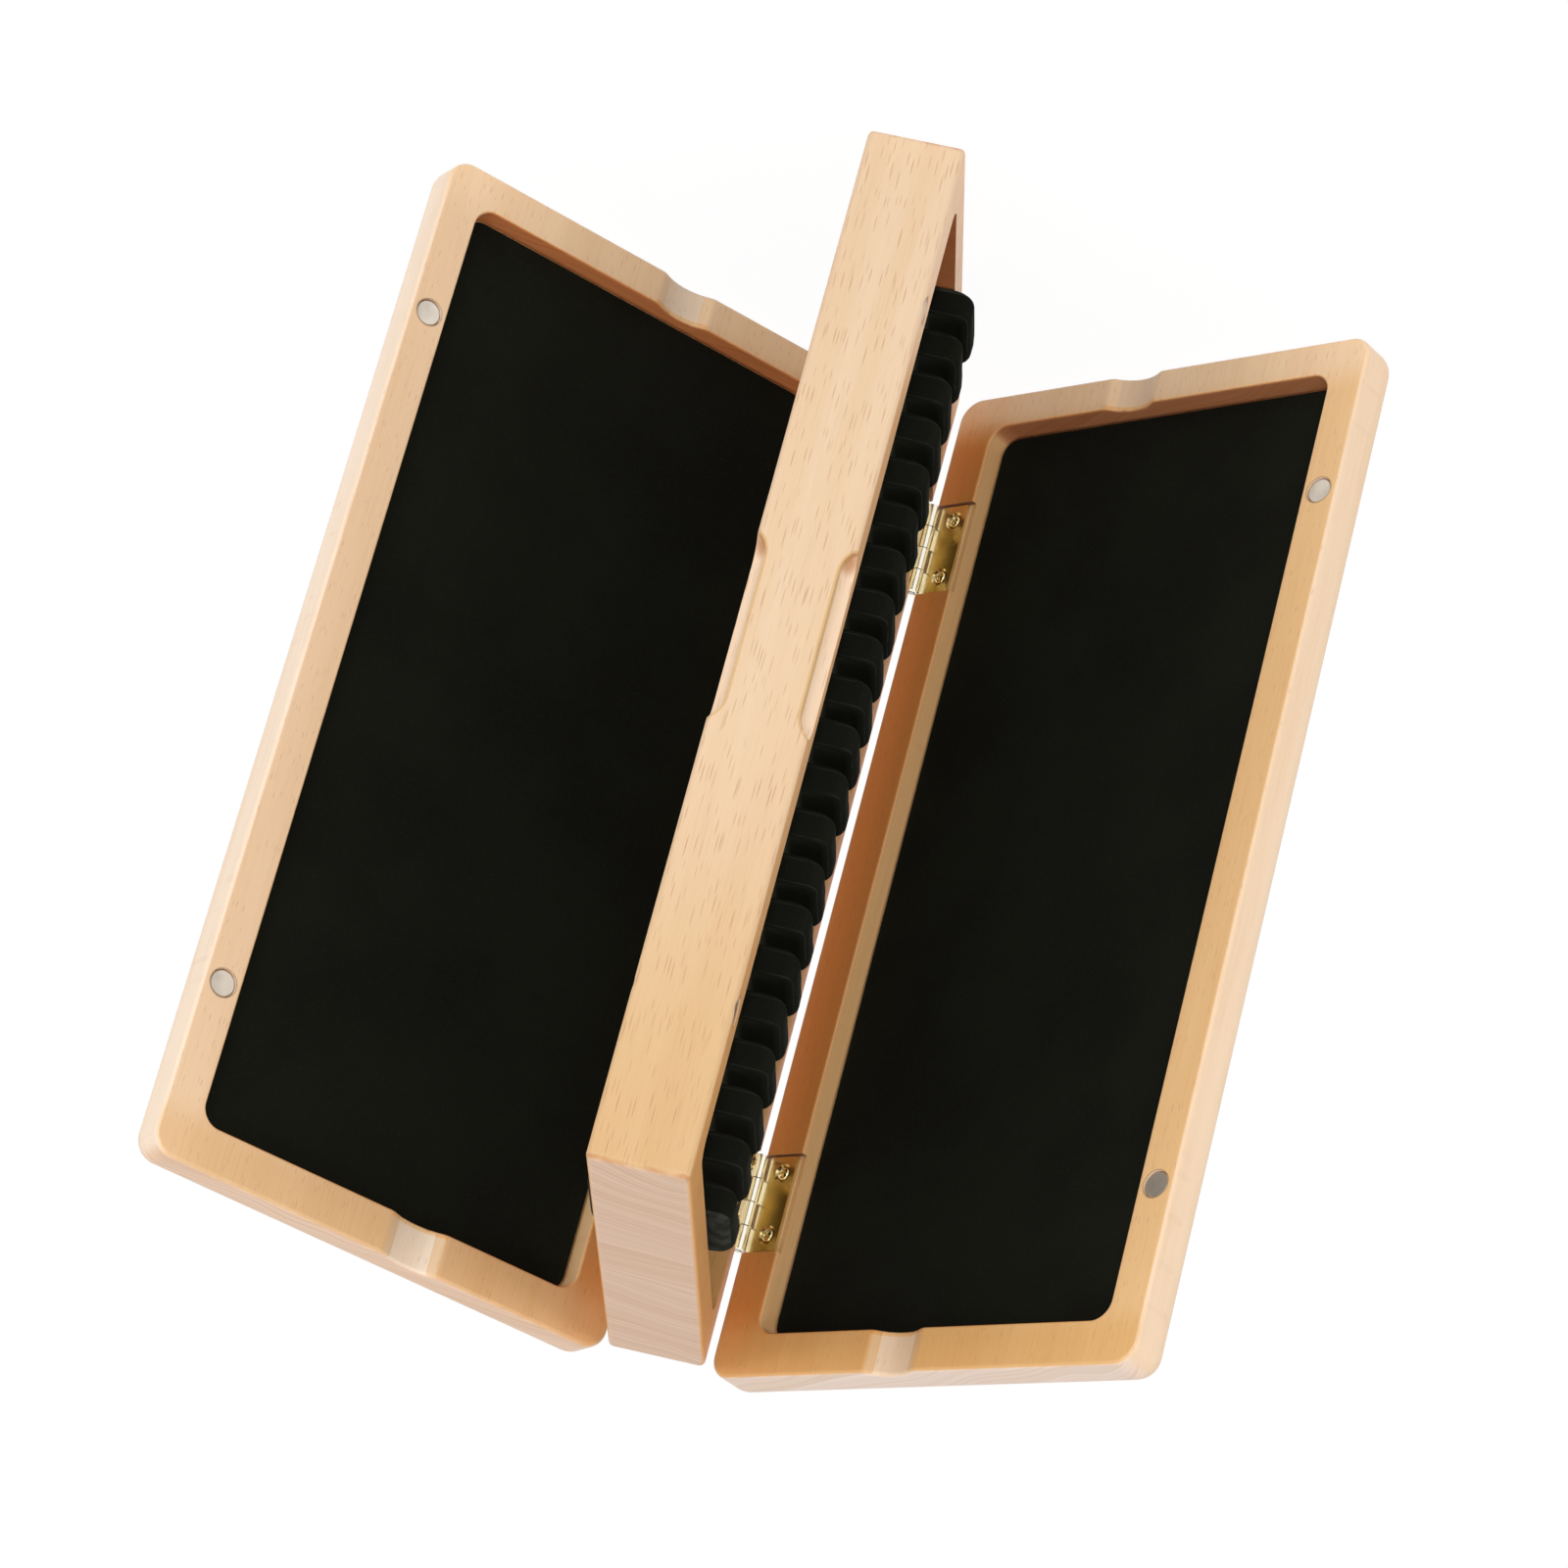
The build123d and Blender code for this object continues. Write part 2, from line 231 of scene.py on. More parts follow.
def ray_dashes(tree, place, across, cell, share, width):
    """Short dashes along Z, spread evenly: how much of one shows at a point. cell is its room in millimetres."""
    spots = parts_of(tree, scaled(tree, place, (cell[0], cell[0], cell[1])))
    bend = cloud(tree, place, (20, 20, 70))
    sideways = calc(tree, "MULTIPLY_ADD", bend, 3.0, spots[across])
    flat = add(tree, "ShaderNodeCombineXYZ", {0: sideways, 1: spots[2], 2: 0.0}).outputs[0]
    rays = add(tree, "ShaderNodeTexVoronoi", {"Vector": flat, "Scale": 1.0, "Randomness": 0.8},
               voronoi_dimensions="2D")
    draw = add(tree, "ShaderNodeSeparateColor", {0: rays.outputs["Color"]}).outputs
    shown = calc(tree, "LESS_THAN", draw[0], share)
    reach = calc(tree, "MULTIPLY_ADD", draw[1], width, width)
    inside = calc(tree, "SUBTRACT", 1.0, calc(tree, "DIVIDE", rays.outputs["Distance"], reach), clamp=True)
    tone = calc(tree, "MULTIPLY_ADD", draw[2], 0.5, 0.45)
    return product(tree, span(tree, inside, 0.0, 0.6), shown, tone)


# Tones of the beech, painted light and shade among them, and where they lie on the shut case: across X, Y and Z in
# millimetres

# painted light on the inner faces at the lower end
LIT_LOW_RIM = linear(255, 222, 184)
# painted light on the thumb grooves' floors and painted shade along their brinks
GROOVE_FLOOR_LIGHT, GROOVE_BRINK_SHADE = linear(255, 228, 202), linear(214, 176, 116)
RAY = linear(180, 126, 92)
# painted shade on the hinge mortises' end walls
MORTISE_SHADE = linear(116, 60, 28)
# painted shade in the gap round each magnet
MAGNET_GAP_SHADE = linear(112, 80, 56)
# brown smudges at an edge, and painted shade at the thumb grooves' lower ends
BROWN_SMUDGE_AND_SHADE = linear(194, 130, 80)
BAND_TINT, STREAK_TINT = (0.96, 0.92, 0.86), (0.93, 0.88, 0.82)
RING_TINT, BROAD_RING_TINT = (0.88, 0.82, 0.78), (0.94, 0.9, 0.84)
DEEPER_TINT = (0.87, 0.76, 0.54)
# painted shade, warmed as by bounced light, on the inner faces towards the hinges and on the hinge rims
HINGE_SHADE_TINT, HINGE_RIM_SHADE_TINT = (0.94, 0.64, 0.34), (0.82, 0.73, 0.6)
# painted shade on the walls of the pocket and the recesses
WALL_SHADE_TINT, END_WALL_SHADE_TINT, DEEP_END_WALL_SHADE_TINT = (1.0, 0.8, 0.52), (0.86, 0.44, 0.22), (0.6, 0.31, 0.16)

inner_face_depth = lid_face_x + 1.0            # faces square to X are inner faces up to here
low_end, high_end = (4.0, 13.0), (202.0, 211.0)
groove_floor_x, groove_floor_y, groove_floor_z = (8.1, 1.3), (-46.3, 3.3), (mid_z, 20.0)   # middle, half width
brink_middle, brink_half, brink_back = groove_radius + 0.1, 0.33, -48.2
# where painted shade darkens the thumb grooves' lower ends
groove_end_shade = (8.3, -47.6, 90.0)
# where the painted shade along the hinges lies
hinge_shade_y, hinge_rim_shade_y = (-45.0, case_width / 2), (36.0, 42.0)
mortise_front, mortise_half_length = 41.0, 90.0
front_edge_y = -48.0


def leaf_places(tree, angle, centre_x):
    """Where a point of a leaf lies while the case is shut and which way it faces there, as sockets."""
    place = shut_place(tree, angle, centre_x)
    normal = tree.nodes.new("ShaderNodeTexCoord").outputs["Normal"]
    faced = add(tree, "ShaderNodeVectorRotate", {"Vector": normal, "Angle": math.radians(angle)},
                rotation_type="Z_AXIS").outputs[0]
    facing = [calc(tree, "ABSOLUTE", value) for value in parts_of(tree, faced)]
    spots = parts_of(tree, scaled(tree, place, (1, 1, 1)))
    depth = calc(tree, "ABSOLUTE", spots[0])
    inner = product(tree, span(tree, facing[0], 0.3, 0.8), calc(tree, "LESS_THAN", depth, inner_face_depth))
    low = opposite(tree, span(tree, spots[2], *low_end))
    return SimpleNamespace(place=place, facing=facing, spots=spots, depth=depth, inner=inner, low=low)


def groove_light_and_shade(tree, at, wood, line):
    """Painted light on the thumb grooves' floors, and painted shade, an olive line of that strength, along their
    brinks.
    """
    floor = product(tree, within(tree, at.spots[1], *groove_floor_y), within(tree, at.depth, *groove_floor_x),
                    within(tree, at.spots[2], *groove_floor_z), 0.8)
    wood = mix(tree, floor, wood, GROOVE_FLOOR_LIGHT)
    beyond = calc(tree, "SUBTRACT", away_from(tree, at.spots[2], mid_z), groove_travel / 2)
    beyond = calc(tree, "MAXIMUM", beyond, 0.0)
    inwards = calc(tree, "SUBTRACT", frame_side_x - groove_depth + groove_radius, at.depth)
    brink = product(tree, within(tree, hypotenuse(tree, beyond, inwards), brink_middle, brink_half),
                    calc(tree, "LESS_THAN", at.spots[1], brink_back), line)
    return mix(tree, brink, wood, GROOVE_BRINK_SHADE)


def end_grain(tree, at, end, radial):
    """Narrow and broad rings, square to the rays."""
    warp = cloud(tree, at.place, (30, 30, 30), 1.0)
    path = calc(tree, "MULTIPLY_ADD", at.spots[1 - radial], 0.25, at.spots[radial])
    path = calc(tree, "MULTIPLY_ADD", warp, 16.0, path)
    rings = add(tree, "ShaderNodeTexNoise", {"W": path, "Scale": 1.0, "Detail": 3.0, "Roughness": 0.6},
                noise_dimensions="1D").outputs[0]
    broad = add(tree, "ShaderNodeTexNoise", {"W": product(tree, path, 0.16), "Scale": 1.0, "Detail": 1.0},
                noise_dimensions="1D").outputs[0]
    cut = mix(tree, span(tree, rings, 0.35, 0.7), end, RING_TINT, "MULTIPLY")
    return mix(tree, span(tree, broad, 0.4, 0.65), cut, BROAD_RING_TINT, "MULTIPLY")


def hinge_side_shade(tree, at, colour, hinge_shade):
    """Painted shade on an inner face towards the hinges, warm as where light bounces between wood, less so at the
    ends, and deeper on the hinge rim.
    """
    ends = calc(tree, "MAXIMUM", at.low, span(tree, at.spots[2], *high_end, 0.0, 0.7))
    near = product(tree, span(tree, at.spots[1], *hinge_shade_y, 0.0, hinge_shade), at.inner, opposite(tree, ends))
    colour = mix(tree, near, colour, HINGE_SHADE_TINT, "MULTIPLY")
    rim = product(tree, near, span(tree, at.spots[1], *hinge_rim_shade_y))
    return mix(tree, rim, colour, HINGE_RIM_SHADE_TINT, "MULTIPLY")


def shaded_hollow_walls(tree, at, colour, hollow):
    """Painted shade, brown, on the walls in a leaf's hollow, which is (Y, half width, half length, X from, X to,
    tint of end walls).
    """
    y, half_width, half_length, start_x, stop_x, end_tint = hollow
    walls = product(tree, within(tree, at.spots[1], y, half_width), within(tree, at.spots[2], mid_z, half_length),
                    calc(tree, "GREATER_THAN", at.depth, start_x), calc(tree, "LESS_THAN", at.depth, stop_x))
    brown = mix(tree, span(tree, at.facing[2], 0.5, 0.9), WALL_SHADE_TINT, end_tint)
    return mix(tree, walls, colour, brown, "MULTIPLY")


# Painted shade, dark brown, on the end walls of the hinge mortises
def shaded_mortise_walls(tree, at, colour):
    mortise = product(tree, calc(tree, "GREATER_THAN", at.spots[1], mortise_front),
                      within(tree, at.spots[2], mid_z, mortise_half_length),
                      span(tree, at.facing[2], 0.5, 0.8, 0.0, 0.9))
    return mix(tree, mortise, colour, MORTISE_SHADE)


def shade_magnet_gaps(tree, at, colour):
    """Painted shade: a dark line in the gap round each magnet."""
    up = calc(tree, "SUBTRACT", away_from(tree, at.spots[2], mid_z), mid_z - magnet_from_end)
    away = hypotenuse(tree, up, calc(tree, "SUBTRACT", at.spots[1], magnet_y))
    ring = dot(tree, away, magnet_seat + 0.05, magnet_seat + 0.35, 0.6)
    return mix(tree, product(tree, ring, at.inner), colour, MAGNET_GAP_SHADE)


def smudges_and_groove_shade(tree, at, colour, smudge_and_shade_strength):
    """Brown smudges at the front edge of the upper end, and painted shade at the lower ends of the thumb grooves.
    """
    edge = product(tree, span(tree, at.facing[2], 0.12, 0.4), calc(tree, "LESS_THAN", at.spots[1], front_edge_y),
                   opposite(tree, span(tree, at.facing[2], 0.75, 0.97)),
                   span(tree, cloud(tree, at.place, (3, 3, 3), 2.0), 0.4, 0.7, 0.0, 0.6))
    spot = add(tree, "ShaderNodeCombineXYZ", {0: at.depth, 1: at.spots[1], 2: at.spots[2]}).outputs[0]
    far = add(tree, "ShaderNodeVectorMath", {0: spot, 1: groove_end_shade}, operation="DISTANCE").outputs["Value"]
    touches = calc(tree, "MAXIMUM", edge, dot(tree, far, 0.5, 3.0, 0.75))
    return mix(tree, product(tree, touches, smudge_and_shade_strength), colour, BROWN_SMUDGE_AND_SHADE)


def beech(name, angle, centre_x, radial, face_x, face_y, end, dash, hollow, hinge_shade, toned, low_rim_light, smudge_and_shade_strength):
    """Steamed beech with its grain along Z.

    radial is the axis, 0 for X or 1 for Y, that the rays run along. face_x is the colour of inner faces square to
    X, face_y that of outer faces and of faces square to Y, and end that of the ends; on the lids face_x and face_y
    differ partly as the wood does and partly by painted light, the outer and side faces painted paler. dash is
    (cell, share, width, strength) of the rays, hollow the recess with walls in painted shade, hinge_shade the
    strength of the painted shade, warm as from bounced light, along the hinges, toned (from, to, strength, share
    off the inner face) of a deeper tone towards the upper end, low_rim_light the strength of painted light on the
    inner face at the lower end, and smudge_and_shade_strength that of painted shade at the thumb grooves and of
    brown smudges at edges.
    """
    material, tree, shader = new_material(name)
    at = leaf_places(tree, angle, centre_x)
    # broad bands and fine streaks along the grain
    bands = cloud(tree, at.place, (7, 7, 130), 3.0, 0.55)
    streaks = cloud(tree, at.place, (0.4, 0.4, 14), 2.0, 0.6)
    # face_y on outer faces and faces square to Y, face_x on inner faces; on the lids the paler face_y is partly
    # painted light
    sideways = calc(tree, "MAXIMUM", span(tree, at.facing[1], 0.1, 0.5), opposite(tree, at.inner))
    wood = mix(tree, sideways, face_x, face_y)
    # painted light: the inner faces are paler towards the lower end
    wood = mix(tree, product(tree, at.low, at.inner, low_rim_light), wood, LIT_LOW_RIM)
    # painted light in the thumb grooves, painted shade along their brinks
    wood = groove_light_and_shade(tree, at, wood, 0.75 * smudge_and_shade_strength)
    wood = mix(tree, span(tree, bands, 0.3, 0.7), wood, BAND_TINT, "MULTIPLY")
    wood = mix(tree, span(tree, streaks, 0.45, 0.8, 0.0, 0.7), wood, STREAK_TINT, "MULTIPLY")
    deeper = product(tree, span(tree, at.spots[2], toned[0], toned[1], 0.0, toned[2]),
                     calc(tree, "MAXIMUM", at.inner, toned[3]))
    wood = mix(tree, deeper, wood, DEEPER_TINT, "MULTIPLY")
    dashes = product(tree, ray_dashes(tree, at.place, 1 - radial, *dash[:3]),
                     span(tree, at.facing[radial], 0.3, 0.9, 0.25, 1.0))
    wood = mix(tree, product(tree, dashes, dash[3]), wood, RAY)
    colour = mix(tree, span(tree, at.facing[2], 0.6, 0.97), wood, end_grain(tree, at, end, radial))
    # painted shade along the hinges
    colour = hinge_side_shade(tree, at, colour, hinge_shade)
    # painted shade on the hollows' walls
    colour = shaded_hollow_walls(tree, at, colour, hollow)
    # painted shade on the mortises' end walls
    colour = shaded_mortise_walls(tree, at, colour)
    # painted shade round the magnets
    colour = shade_magnet_gaps(tree, at, colour)
    # brown smudges at the upper end's front edge, painted shade at the grooves' lower ends
    colour = smudges_and_groove_shade(tree, at, colour, smudge_and_shade_strength)
    tree.links.new(colour, shader.inputs["Base Color"])
    tree.links.new(calc(tree, "MULTIPLY_ADD", streaks, 0.14, 0.36), shader.inputs["Roughness"])
    shader.inputs["Coat Weight"].default_value = 0.12
    shader.inputs["Coat Roughness"].default_value = 0.3
    height = calc(tree, "MULTIPLY_ADD", dashes, -0.5, streaks)
    bump = add(tree, "ShaderNodeBump", {"Height": height, "Strength": 0.08, "Distance": 0.0002})
    tree.links.new(bump.outputs[0], shader.inputs["Normal"])
    return material


def velvet(name):
    material, tree, shader = new_material(name)
    place = tree.nodes.new("ShaderNodeTexCoord").outputs["Object"]
    patches = cloud(tree, place, (22, 22, 22), 3.0)
    nap = cloud(tree, place, (0.45, 0.45, 0.45), 2.0)
    tone = mix(tree, span(tree, patches, 0.3, 0.7), linear(20, 21, 16), linear(25, 27, 21))
    tone = mix(tree, span(tree, nap, 0.5, 0.8, 0.0, 0.35), tone, linear(42, 43, 36))
    # painted sheen: greyer lines along the crests; painted light: paler slots, offsetting their shade
    painted_light = add(tree, "ShaderNodeAttribute", attribute_name="painted_light").outputs["Fac"]
    sheen_line = calc(tree, "MULTIPLY", painted_light, span(tree, cloud(tree, place, (3, 3, 3), 1.0), 0.3, 0.6, 0.2, 0.8),
                clamp=True)
    slot_light = calc(tree, "MULTIPLY", painted_light, -1.0, clamp=True)
    tone = mix(tree, sheen_line, tone, linear(60, 64, 60))
    tone = mix(tree, slot_light, tone, linear(52, 53, 44))
    # a few specks of lint
    lint = add(tree, "ShaderNodeTexVoronoi", {"Vector": scaled(tree, place, (26, 26, 26)), "Scale": 1.0})
    speck = calc(tree, "LESS_THAN", lint.outputs["Distance"], 0.008)
    tone = mix(tree, product(tree, speck, 0.6), tone, linear(120, 128, 124))
    tree.links.new(tone, shader.inputs["Base Color"])
    shader.inputs["Roughness"].default_value = 0.95
    shader.inputs["Specular IOR Level"].default_value = 0.08
    shader.inputs["Sheen Weight"].default_value = 0.09
    shader.inputs["Sheen Roughness"].default_value = 0.22
    shader.inputs["Sheen Tint"].default_value = (*linear(186, 194, 196), 1.0)
    bump = add(tree, "ShaderNodeBump", {"Height": nap, "Strength": 0.25, "Distance": 0.0002})
    tree.links.new(bump.outputs[0], shader.inputs["Normal"])
    return material


knuckle_highlight_edge = (1.7, 2.3)                      # distances from the pin's axis where a knuckle's painted highlight ends


def metal(name, light, dark, rough, brushed, knuckle_highlight=None):
    """Metal with fine lines along its length; brushed is their strength, and knuckle_highlight the colour near the
    pins, a near-white painted highlight on the knuckles.
    """
    material, tree, shader = new_material(name)
    place = tree.nodes.new("ShaderNodeTexCoord").outputs["Object"]
    lines = cloud(tree, place, (0.25, 0.25, 3.0), 2.0)
    stains = cloud(tree, place, (5, 5, 7), 2.0)
    tone = mix(tree, span(tree, stains, 0.35, 0.7), light, dark)
    if knuckle_highlight:
        spots = parts_of(tree, scaled(tree, place, (1, 1, 1)))
        aside = calc(tree, "SUBTRACT", calc(tree, "ABSOLUTE", spots[0]), axis_x)
        behind = calc(tree, "SUBTRACT", spots[1], axis_y)
        tone = mix(tree, span(tree, hypotenuse(tree, aside, behind), *knuckle_highlight_edge), knuckle_highlight, tone)
    tree.links.new(tone, shader.inputs["Base Color"])
    shader.inputs["Metallic"].default_value = 1.0
    tree.links.new(calc(tree, "MULTIPLY_ADD", stains, 0.1, rough), shader.inputs["Roughness"])
    bump = add(tree, "ShaderNodeBump", {"Height": lines, "Strength": brushed, "Distance": 0.00005})
    tree.links.new(bump.outputs[0], shader.inputs["Normal"])
    return material


past_walls, from_brink, past_floor = 1.0, 0.04, 0.2        # how far a hollow's painted shade goes past its faces
pocket_hollow = (pocket_y, pocket_size[0] / 2 + past_walls, pocket_size[1] / 2 + past_walls,
                 0.0, frame_side_x - from_brink, END_WALL_SHADE_TINT)
recess_hollow = (recess_y, recess_size[0] / 2 + past_walls, recess_size[1] / 2 + past_walls,
                 lid_face_x + from_brink, panel_back_x + past_floor)
frame_dash = ((0.75, 13.0), 0.9, 0.12, 0.65)
lid_looks = {"radial": 0, "dash": ((0.7, 4.5), 0.35, 0.13, 0.35), "hinge_shade": 0.9, "toned": (203.0, 211.0, 0.65, 0.0),
             "low_rim_light": 1.0, "smudge_and_shade_strength": 0.0}
# the lids' tones differ partly as their wood does and partly by painted light and shade
BEECH = {
    "middle_frame": beech("beech_frame", angle=0, centre_x=0, radial=1, face_x=linear(250, 201, 152),
                          face_y=linear(233, 205, 174), end=linear(236, 200, 172), dash=frame_dash,
                          hollow=pocket_hollow, hinge_shade=0.0, toned=(110.0, 215.0, 1.0, 1.0), low_rim_light=0.0, smudge_and_shade_strength=1.0),
    "left_lid": beech("beech_left_lid", angle=OPENING["left"], centre_x=-axis_x, face_x=linear(246, 203, 148),
                      face_y=linear(246, 218, 188), end=linear(255, 232, 216),
                      hollow=(*recess_hollow, DEEP_END_WALL_SHADE_TINT), **lid_looks),
    "right_lid": beech("beech_right_lid", angle=-OPENING["right"], centre_x=axis_x, face_x=linear(248, 213, 175),
                       face_y=linear(252, 231, 210), end=linear(252, 216, 186),
                       hollow=(*recess_hollow, END_WALL_SHADE_TINT), **lid_looks),
}
VELVET = velvet("black_velvet")
# near-white knuckles: painted highlight
BRASS = metal("polished_brass", linear(238, 219, 166), linear(210, 185, 126), rough=0.16, brushed=0.1,
              knuckle_highlight=linear(253, 246, 228))
STEEL = metal("steel", linear(205, 203, 198), linear(150, 148, 144), rough=0.26, brushed=0.1)
MAGNET = metal("nickel_plating", linear(228, 220, 208), linear(200, 191, 178), rough=0.34, brushed=0.15)


def dress(node, material):
    """Give a CAD node the material in all its slots."""
    data = bpy.data.objects[node].data
    if not data.materials:
        data.materials.append(material)
    for index in range(len(data.materials)):
        data.materials[index] = material


def dress_cad_nodes():
    for node, material in BEECH.items():
        dress(node, material)
    for side in OPENING:
        for level in LEVELS:
            for piece in ("frame_leaf", "lid_leaf"):
                dress(f"{side}_{piece}_{level}", BRASS)
            dress(f"{side}_hinge_pin_{level}", STEEL)
            for piece in ("frame_magnet", "lid_magnet"):
                dress(f"{side}_{piece}_{level}", MAGNET)


# Soft pieces

def as_placed(point, side, opening):
    """A point of the shut right side, turned open about the pin and mirrored for the left side, in metres."""
    angle = math.radians(opening)
    x, y = point[0] - axis_x, point[1] - axis_y
    x, y = x * math.cos(angle) - y * math.sin(angle), x * math.sin(angle) + y * math.cos(angle)
    x += axis_x
    return Vector((-x if side == "left" else x, y + axis_y, point[2])) * MM


def mesh_piece(name, points, faces, side, opening, body, node, material, painted_lights=None):
    mesh = bpy.data.meshes.new(name)
    mesh.from_pydata([as_placed(p, side, opening) for p in points], [], faces)
    if painted_lights:
        mesh.attributes.new("painted_light", "FLOAT", "POINT").data.foreach_set("value", painted_lights)
    piece = bpy.data.objects.new(name, mesh)
    bpy.context.collection.objects.link(piece)
    clean = bmesh.new()
    clean.from_mesh(mesh)
    bmesh.ops.remove_doubles(clean, verts=clean.verts, dist=1e-7)
    bmesh.ops.recalc_face_normals(clean, faces=clean.faces)
    clean.to_mesh(mesh)
    clean.free()
    for face in mesh.polygons:
        face.use_smooth = True
    mesh.materials.append(material)
    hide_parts(node)
    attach(piece, body)
    return piece


def rounded_outline(width, length, corner, per_corner):
    """Points round a rectangle with rounded corners, centred on zero, as (y, z)."""
    points = []
    for quarter in range(4):
        start = quarter * math.pi / 2
        sign_y = 1 if quarter in (0, 3) else -1
        sign_z = 1 if quarter in (0, 1) else -1
        centre_y = sign_y * max(width / 2 - corner, 0.0)
        centre_z = sign_z * max(length / 2 - corner, 0.0)
        for i in range(per_corner + 1):
            angle = start + i / per_corner * math.pi / 2
            points.append((centre_y + corner * math.cos(angle), centre_z + corner * math.sin(angle)))
    return points


def between(points, extra):
    """The closed outline with extra points spread over its four long runs."""
    longer = []
    count = len(points)
    for i, point in enumerate(points):
        after = points[(i + 1) % count]
        longer.append(point)
        if (i + 1) % (count // 4) == 0:
            longer += [(point[0] + (after[0] - point[0]) * k / (extra + 1),
                        point[1] + (after[1] - point[1]) * k / (extra + 1)) for k in range(1, extra + 1)]
    return longer


def tube_faces(rings):
    """Faces between each ring of points and the next."""
    return [(low[i], low[(i + 1) % len(low)], high[(i + 1) % len(low)], high[i])
            for low, high in zip(rings, rings[1:]) for i in range(len(low))]


def velvet_panel(name, back_x, outwards, y, z, width, length, corner, thickness, side, opening, body, node):
    """Card covered with velvet: soft rounded edge, low crown, slight unevenness. outwards is +1 or -1 in X."""
    rings = []
    points = []
    for inset, rise in zip(panel_insets, panel_rises):
        ring = between(rounded_outline(width - 2 * inset, length - 2 * inset, max(corner - inset, 0.3),
                                       panel_corner_steps), panel_run_points)
        rings.append(list(range(len(points), len(points) + len(ring))))
        for py, pz in ring:
            wobble = noise.noise(Vector((py / 9, pz / 9, 3.0 if side == "left" else 8.0)))
            edge = panel_edge_wave * wobble if inset < 0.5 else 0.0
            wave = panel_face_wave * wobble if inset > 0.7 else 0.0
            lift = rise * thickness + wave - panel_sink * (rise > 0.99)
            points.append((back_x + outwards * lift, y + py * (1 - edge / width), z + pz))
    faces = tube_faces(rings) + [tuple(rings[-1]), tuple(reversed(rings[0]))]
    piece = mesh_piece(name, points, faces, side, opening, body, node, VELVET)
    return piece


def quarter_turn(steps):
    """Sine and cosine on the way through a quarter turn."""
    return [(math.sin(i / steps * math.pi / 2), math.cos(i / steps * math.pi / 2)) for i in range(steps + 1)]


def bar_sections(side):
    """Place along Z, height, half width and corner of each outline, and 1 where a sheen line is painted, -1 in a
    slot, where painted light offsets the shade.
    """
    draw = random.Random(11 if side == "left" else 23)
    length = pocket_size[1] - bar_foot_clearance - bar_top_clearance
    middle = end_rail + bar_foot_clearance + length / 2
    pitch = (length + slot_width) / (slot_count + 1)
    half_width = bar_width / 2
    top = frame_side_x + bar_proud - lining_face_x
    sections = []
    for i in range(slot_count + 1):
        z = middle + (i - slot_count / 2) * pitch + draw.uniform(-ridge_shift, ridge_shift)
        half = (pitch - slot_width) / 2 + draw.uniform(*ridge_growth)
        height = top + draw.uniform(-ridge_drop, 0.0)
        lean = draw.uniform(*ridge_lean)
        for end in (-1, 1):
            last = (i == 0 and end < 0) or (i == slot_count and end > 0)
            foot = 0.0 if last else bar_base
            inset, narrowing, corner = end_foot if last else slot_foot
            flank = [(z + end * (half - inset), foot, half_width - narrowing, corner, 1.0 if last else -1.0)]
            flank += [(z + end * (half - inset), foot + rise, half_width - narrowing, corner,
                       1.0 if last else -0.8) for inset, rise, narrowing, corner in low_flank]
            for turn in ridge_turns:
                sin, cos = math.sin(math.radians(turn)), math.cos(math.radians(turn))
                # a painted sheen line on this turn of the edge
                sheen_line = turn == sheen_turn or (last and turn < sheen_turn)
                flank.append((z + end * (half - ridge_round * (1 - cos)) + lean, height - ridge_round * (1 - sin),
                              half_width, ridge_corner, float(sheen_line)))
            sections += flank if end < 0 else reversed(flank)
        if i < slot_count:
            sink, narrowing, corner = slot_floor
            sections.append((middle + (i + 0.5 - slot_count / 2) * pitch, bar_base - sink, half_width - narrowing,
                             corner, -1.0))
    return sections


def bar_outline(height, half, corner):
    """Half of an oblong over the card: up one side, over the top and down the other, as (x, y)."""
    corner = min(corner, max(height * 0.9, 0.01))
    foot = [(0.0, half), ((height - corner) / 2, half)]
    bend = [(height - corner * (1 - sin), half - corner * (1 - cos))
            for sin, cos in quarter_turn(bar_corner_steps)]
    left = [(x, -y) for x, y in foot + bend]
    crown = [(height, (half - corner) * share) for share in (-0.5, 0.0, 0.5)]
    return left + crown + list(reversed(foot + bend))


def reed_bar(side):
    """Padded velvet ridges with a slot for a reed's tube between every two, each a little uneven."""
    centre_y = -case_width / 2 + bar_from_front + bar_width / 2
    points = []
    painted_lights = []
    rings = []
    for z, height, half, corner, painted_light in bar_sections(side):
        ring = bar_outline(height, half, corner)
        # per point: 1 for a painted sheen line, below 0 for painted light in a slot
        painted_lights += [painted_light] * len(ring)
        rings.append(list(range(len(points), len(points) + len(ring))))
        for px, py in ring:
            wave = noise.noise(Vector((py / 5, z / 4, px / 4 + (2.0 if side == "left" else 6.0))))
            wave_y = noise.noise(Vector((z / 3.5, px / 3, 40.0 + (py > 0))))
            share = min(px / bar_base, 1.0)
            points.append((lining_face_x + px + bar_wave * share * (wave - 1),
                           centre_y + py * (1 - bar_taper * share * (1 + wave_y)), z))
    faces = tube_faces(rings) + [tuple(reversed(rings[0])), tuple(rings[-1])]
    piece = mesh_piece(f"{side}_velvet_bar", points, faces, side, 0, "frame", f"{side}_reed_bar", VELVET,
                       painted_lights)
    return piece


